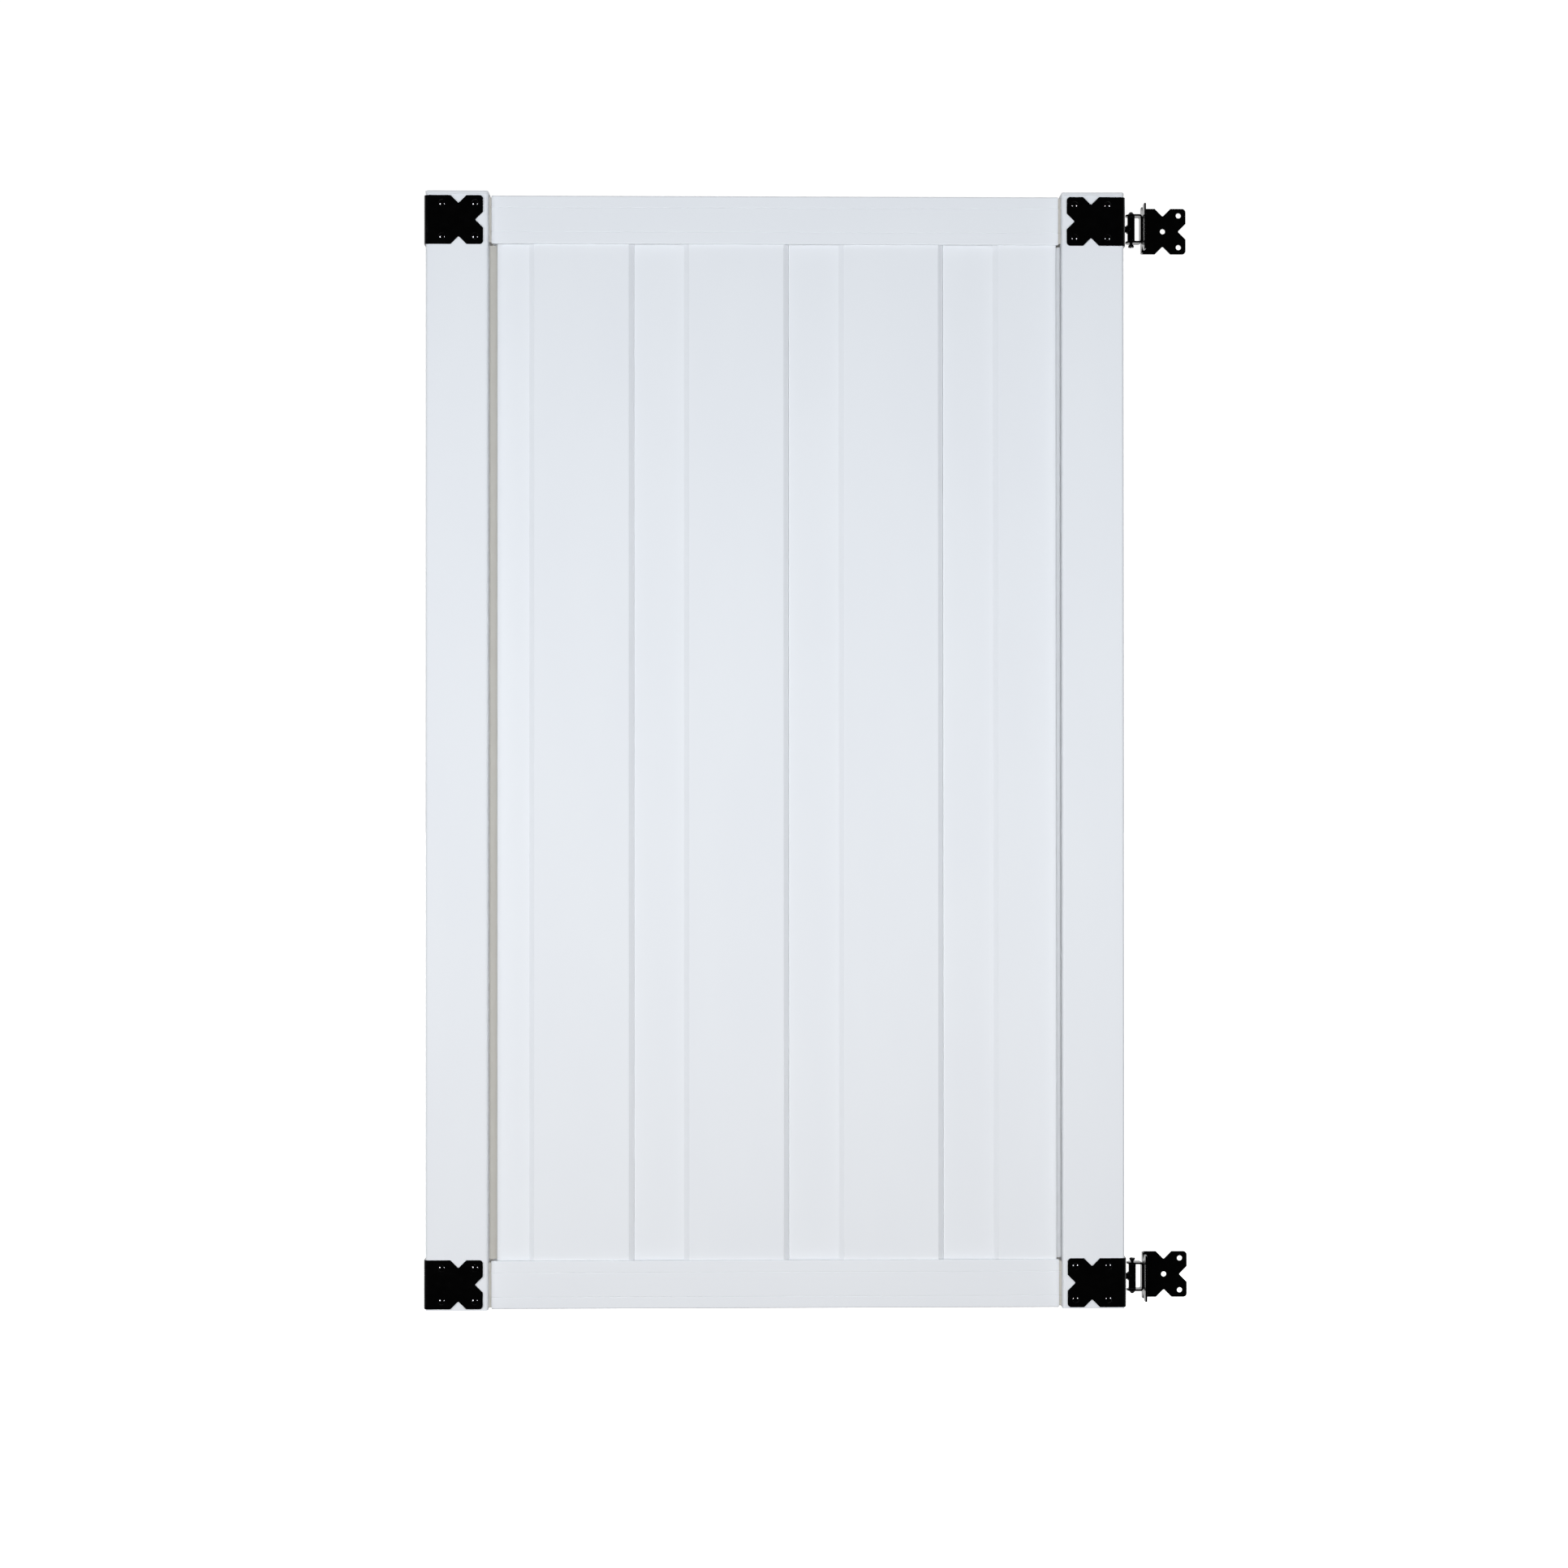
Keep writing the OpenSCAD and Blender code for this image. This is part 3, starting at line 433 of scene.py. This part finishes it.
def makeScrews():
    tree = screwTree()
    head = screw["rim"] + screw["dome"]
    sets = ("latch_bracket_screws", "hinge_bracket_screws")
    for number, node in enumerate(sorted(n for n in frame["nodes"] if n.endswith(sets))):
        low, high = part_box(node)
        middle = (low + high) / 2
        piece = grow(node + "_finished", trussScrew(), tree, {
            "Pitch": high.x - low.x - mm(2 * screw["headRadius"]), "Middle": (middle.x, 0.0, middle.z),
            "Front": low.y + mm(head), "Back": high.y - mm(head), "Cross Length": mm(screw["crossLength"]),
            "Cross Width": mm(screw["crossWidth"]), "Cross Depth": mm(screw["crossDepth"]),
            "Head Top": mm(head), "Seed": screw["seed"] + number, "Material": materials["blackZincPlate"]})
        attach(piece, bodyOf[node])
        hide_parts(node)
    print("bracket screws", tree.name)


makeScrews()


spring = {"wire": 1.2, "turns": 16, "steps": 24, "facets": 8, "shadeWithin": 60}


def springTree():
    tree, given = startTree("torsionSpring", [
        ("Radius", "NodeSocketFloat"), ("Wire", "NodeSocketFloat"), ("Turns", "NodeSocketFloat"),
        ("Steps", "NodeSocketInt"), ("Height", "NodeSocketFloat"), ("Foot", "NodeSocketVector"),
        ("Facets", "NodeSocketInt"), ("Material", "NodeSocketMaterial")])
    coil = addNode(tree, "GeometryNodeCurveSpiral", {}, {
        "Resolution": given["Steps"], "Rotations": given["Turns"], "Start Radius": given["Radius"],
        "End Radius": given["Radius"], "Height": given["Height"]})
    thickness = addNode(tree, "ShaderNodeMath", {"operation": "MULTIPLY"}, {0: given["Wire"], 1: 0.5})
    section = addNode(tree, "GeometryNodeCurvePrimitiveCircle", {}, {
        "Resolution": given["Facets"], "Radius": thickness.outputs[0]})
    wire = addNode(tree, "GeometryNodeCurveToMesh", {}, {
        "Curve": coil.outputs[0], "Profile Curve": section.outputs[0], "Fill Caps": True})
    moved = addNode(tree, "GeometryNodeTransform", {}, {
        "Geometry": wire.outputs[0], "Translation": given["Foot"]})
    endTree(tree, moved.outputs[0], given)
    return tree


def makeSprings():
    tree = springTree()
    for node in ("lower_hinge_spring", "upper_hinge_spring"):
        low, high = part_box(node)
        wire = mm(spring["wire"])
        piece = grow(node + "_finished", bpy.data.meshes.new(node), tree, {
            "Radius": (high.x - low.x - wire) / 2, "Wire": wire, "Turns": float(spring["turns"]),
            "Steps": spring["steps"], "Height": high.z - low.z - wire,
            "Foot": ((low.x + high.x) / 2, (low.y + high.y) / 2, low.z + wire / 2),
            "Facets": spring["facets"], "Material": materials["temperedWire"]})
        smoothWithEdges(piece.data, spring["shadeWithin"])
        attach(piece, bodyOf[node])
        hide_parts(node)
    print("springs", tree.name)


makeSprings()


weld = {"bead": 1.5, "step": 0.4, "ripple": 1.9, "swell": 0.12, "wander": 0.08,
        "facets": 10, "sink": 0.45, "studRadius": 5.25, "pathSteps": 48,
        "shadeWithin": 70, "seed": 21}


# a bead that follows a path, swelling and shrinking as each drop of weld froze
def weldTree():
    tree, given = startTree("weldBead", [
        ("Bead Radius", "NodeSocketFloat"), ("Step", "NodeSocketFloat"), ("Ripple", "NodeSocketFloat"),
        ("Swell", "NodeSocketFloat"), ("Wander", "NodeSocketFloat"), ("Facets", "NodeSocketInt"),
        ("Seed", "NodeSocketInt"), ("Material", "NodeSocketMaterial")])
    path = addNode(tree, "GeometryNodeMeshToCurve", {}, {"Mesh": given["Geometry"]})
    even = addNode(tree, "GeometryNodeResampleCurve", {"mode": "LENGTH"}, {
        "Curve": path.outputs[0], "Length": given["Step"]})
    along = addNode(tree, "GeometryNodeSplineParameter").outputs["Length"]
    phase = addNode(tree, "ShaderNodeMath", {"operation": "DIVIDE"}, {0: along, 1: given["Ripple"]})
    turn = addNode(tree, "ShaderNodeMath", {"operation": "MULTIPLY"}, {0: phase.outputs[0], 1: 2 * math.pi})
    wave = addNode(tree, "ShaderNodeMath", {"operation": "SINE"}, {0: turn.outputs[0]})
    swell = addNode(tree, "ShaderNodeMath", {"operation": "MULTIPLY_ADD"}, {
        0: wave.outputs[0], 1: given["Swell"], 2: 1.0})
    spot = addNode(tree, "FunctionNodeRandomValue", {"data_type": "FLOAT"}, {
        2: 0.0, 3: given["Wander"], "Seed": given["Seed"]})
    scale = addNode(tree, "ShaderNodeMath", {"operation": "SUBTRACT"}, {
        0: swell.outputs[0], 1: spot.outputs[1]})
    section = addNode(tree, "GeometryNodeCurvePrimitiveCircle", {}, {
        "Resolution": given["Facets"], "Radius": given["Bead Radius"]})
    bead = addNode(tree, "GeometryNodeCurveToMesh", {}, {
        "Curve": even.outputs[0], "Profile Curve": section.outputs[0], "Scale": scale.outputs[0],
        "Fill Caps": True})
    endTree(tree, bead.outputs[0], given)
    return tree


# loose edges along each path; a path that ends where it starts is closed
def pathMesh(name, paths):
    points, edges = [], []
    sameSpot = mm(0.01)
    for path in paths:
        closed = (Vector(path[0]) - Vector(path[-1])).length < sameSpot
        own = path[:-1] if closed else path
        first = len(points)
        points += [tuple(p) for p in own]
        edges += [(first + i, first + i + 1) for i in range(len(own) - 1)]
        if closed:
            edges.append((first + len(own) - 1, first))
    mesh = bpy.data.meshes.new(name)
    mesh.from_pydata(points, edges, [])
    return mesh


# round the stud where it leaves the bracket, and where it meets the barrel
def studPaths(which):
    barrelLow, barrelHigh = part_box(f"{which}_hinge_barrel")
    axis = Vector(((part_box(f"{which}_hinge_pin")[0].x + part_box(f"{which}_hinge_pin")[1].x) / 2,
                   (barrelLow.y + barrelHigh.y) / 2, (barrelLow.z + barrelHigh.z) / 2))
    barrelRadius = barrelHigh.x - axis.x
    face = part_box(f"{which}_hinge_bracket")[1].x
    stud = mm(weld["studRadius"] + weld["sink"])
    flat, saddle = [], []
    for i in range(weld["pathSteps"] + 1):
        a = 2 * math.pi * i / weld["pathSteps"]
        y, z = stud * math.cos(a), stud * math.sin(a)
        flat.append((face + mm(weld["sink"]), axis.y + y, axis.z + z))
        depth = math.sqrt(max(barrelRadius ** 2 - y * y, 0.0)) + mm(weld["sink"])
        saddle.append((axis.x - depth, axis.y + y, axis.z + z))
    return flat, saddle


def makeWelds():
    tree = weldTree()
    for number, which in enumerate(("lower", "upper")):
        piece = grow(f"{which}_stud_weld", pathMesh(f"{which}_stud_path", studPaths(which)), tree, {
            "Bead Radius": mm(weld["bead"]), "Step": mm(weld["step"]), "Ripple": mm(weld["ripple"]),
            "Swell": weld["swell"], "Wander": weld["wander"], "Facets": weld["facets"],
            "Seed": weld["seed"] + number, "Material": materials["blackPowderCoat"]})
        smoothWithEdges(piece.data, weld["shadeWithin"])
        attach(piece, "leaf")
    print("welds", tree.name)


makeWelds()


for node, carried in frame["nodes"].items():
    carried.data.materials.clear()
    carried.data.materials.append(materials[finishOf(node)])
print("carried over", sum(not o.hide_render for o in frame["nodes"].values()))


leafLow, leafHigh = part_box("left_upright")[0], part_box("right_upright_cap")[1]
leafWidth, leafHeight = leafHigh.x - leafLow.x, leafHigh.z - leafLow.z


def makeCamera():
    stand = {"across": 0.4535, "up": 0.4582, "away": 2.2963, "turn": -0.909, "tilt": 0.286, "roll": 0.024,
             "lens": 58.98, "sensor": 36.0, "near": 0.05, "far": 400.0}
    lens = bpy.data.cameras.new("camera")
    lens.sensor_width = stand["sensor"]
    lens.lens = stand["lens"]
    lens.clip_start, lens.clip_end = stand["near"], stand["far"]
    camera = bpy.data.objects.new("camera", lens)
    bpy.context.scene.collection.objects.link(camera)
    camera.location = (leafLow.x + stand["across"] * leafWidth, leafLow.y - stand["away"] * leafHeight,
                       leafLow.z + stand["up"] * leafHeight)
    camera.rotation_euler = (math.radians(90 + stand["tilt"]), math.radians(stand["roll"]),
                             math.radians(stand["turn"]))
    bpy.context.scene.camera = camera


# a pale floor that the camera sees bright and even
def makeFloor():
    floorGap, reach, cloudSize, glow = 0.05, 60.0, 900, 0.95
    mesh = bpy.data.meshes.new("floor")
    x, y, z = leafLow.x + leafWidth / 2, leafLow.y, leafLow.z - floorGap
    mesh.from_pydata([(x + a * reach, y + b * reach, z) for a, b in ((-1, -1), (1, -1), (1, 1), (-1, 1))], [],
                     [(0, 1, 2, 3)])
    floor = bpy.data.objects.new("floor", mesh)
    bpy.context.scene.collection.objects.link(floor)
    made, tree = startMaterial("paleFloor")
    cloud = addNode(tree, "ShaderNodeTexNoise", {}, {
        "Vector": placeInMillimetres(tree, (cloudSize,) * 3), "Scale": 1.0, "Detail": 3.0})
    colour = addNode(tree, "ShaderNodeMix", {"data_type": "RGBA"}, {
        0: cloud.outputs[0], 6: hexColour("#e9e8e6"), 7: hexColour("#f0efed")})
    shader = addNode(tree, "ShaderNodeBsdfPrincipled", {}, {
        "Base Color": colour.outputs[2], "Roughness": 0.9, "Emission Color": (1, 1, 1, 1),
        "Emission Strength": glow})
    finishMaterial(tree, shader)
    mesh.materials.append(made)
    floor.visible_diffuse = False
    floor.visible_glossy = False


# two softboxes that show in the gloss, a broad fill from the front and a faint warm lift off the floor
def makeLights():
    boxes = {"left": {"turn": -46.0, "away": 3.9, "rise": 0.93, "size": (1.0, 1.0), "watts": 39.0,
                      "colour": "#f8fbff", "gloss": True},
             "right": {"turn": 46.0, "away": 3.9, "rise": 0.98, "size": (0.8, 0.8), "watts": 24.0,
                       "colour": "#f8fbff", "gloss": True},
             "front": {"turn": 0.0, "away": 4.1, "rise": 1.02, "size": (2.2, 1.6), "watts": 130.0,
                       "colour": "#f6faff", "gloss": False},
             "low": {"turn": 0.0, "away": 1.2, "rise": -0.02, "size": (2.4, 0.5), "watts": 1.5,
                     "colour": "#ffd9a8", "gloss": False}}
    middle = Vector((leafLow.x + leafWidth / 2, leafLow.y, leafLow.z))
    lowestAim = leafLow.z + 0.35
    for name, box in boxes.items():
        light = bpy.data.lights.new(name + "Softbox", "AREA")
        light.shape = "RECTANGLE"
        light.size, light.size_y = box["size"]
        light.energy = box["watts"]
        light.color = hexColour(box["colour"])[:3]
        made = bpy.data.objects.new(name + "Softbox", light)
        bpy.context.scene.collection.objects.link(made)
        turn = math.radians(box["turn"])
        made.location = middle + Vector((math.sin(turn) * box["away"], -math.cos(turn) * box["away"],
                                         box["rise"]))
        aim = Vector((middle.x, middle.y, max(made.location.z, lowestAim)))
        made.rotation_euler = (aim - made.location).to_track_quat("-Z", "Y").to_euler()
        made.visible_camera = False
        made.visible_glossy = box["gloss"]


# white behind the gate and all round for the camera, dim in front so that gloss black stays black
def makeWorld():
    room = {"from": -0.15, "to": 0.35, "front": 0.004, "behind": 1.0, "backdrop": 1.05}
    world = bpy.data.worlds.new("studio")
    bpy.context.scene.world = world
    world.use_nodes = True
    tree = world.node_tree
    tree.nodes.clear()
    place = addNode(tree, "ShaderNodeTexCoord")
    split = addNode(tree, "ShaderNodeSeparateXYZ", {}, {0: place.outputs["Generated"]})
    behind = addNode(tree, "ShaderNodeMapRange", {"interpolation_type": "SMOOTHSTEP"}, {
        "Value": split.outputs["Y"], "From Min": room["from"], "From Max": room["to"],
        "To Min": room["front"], "To Max": room["behind"]})
    walls = addNode(tree, "ShaderNodeBackground", {}, {
        "Color": (1, 1, 1, 1), "Strength": behind.outputs["Result"]})
    sweep = addNode(tree, "ShaderNodeBackground", {}, {"Color": (1, 1, 1, 1), "Strength": room["backdrop"]})
    seen = addNode(tree, "ShaderNodeLightPath").outputs["Is Camera Ray"]
    both = addNode(tree, "ShaderNodeMixShader", {}, {0: seen, 1: walls.outputs[0], 2: sweep.outputs[0]})
    addNode(tree, "ShaderNodeOutputWorld", {}, {"Surface": both.outputs[0]})


makeCamera()
makeFloor()
makeLights()
makeWorld()
bpy.context.scene.view_settings.view_transform = "Standard"
print("camera, floor and lights")
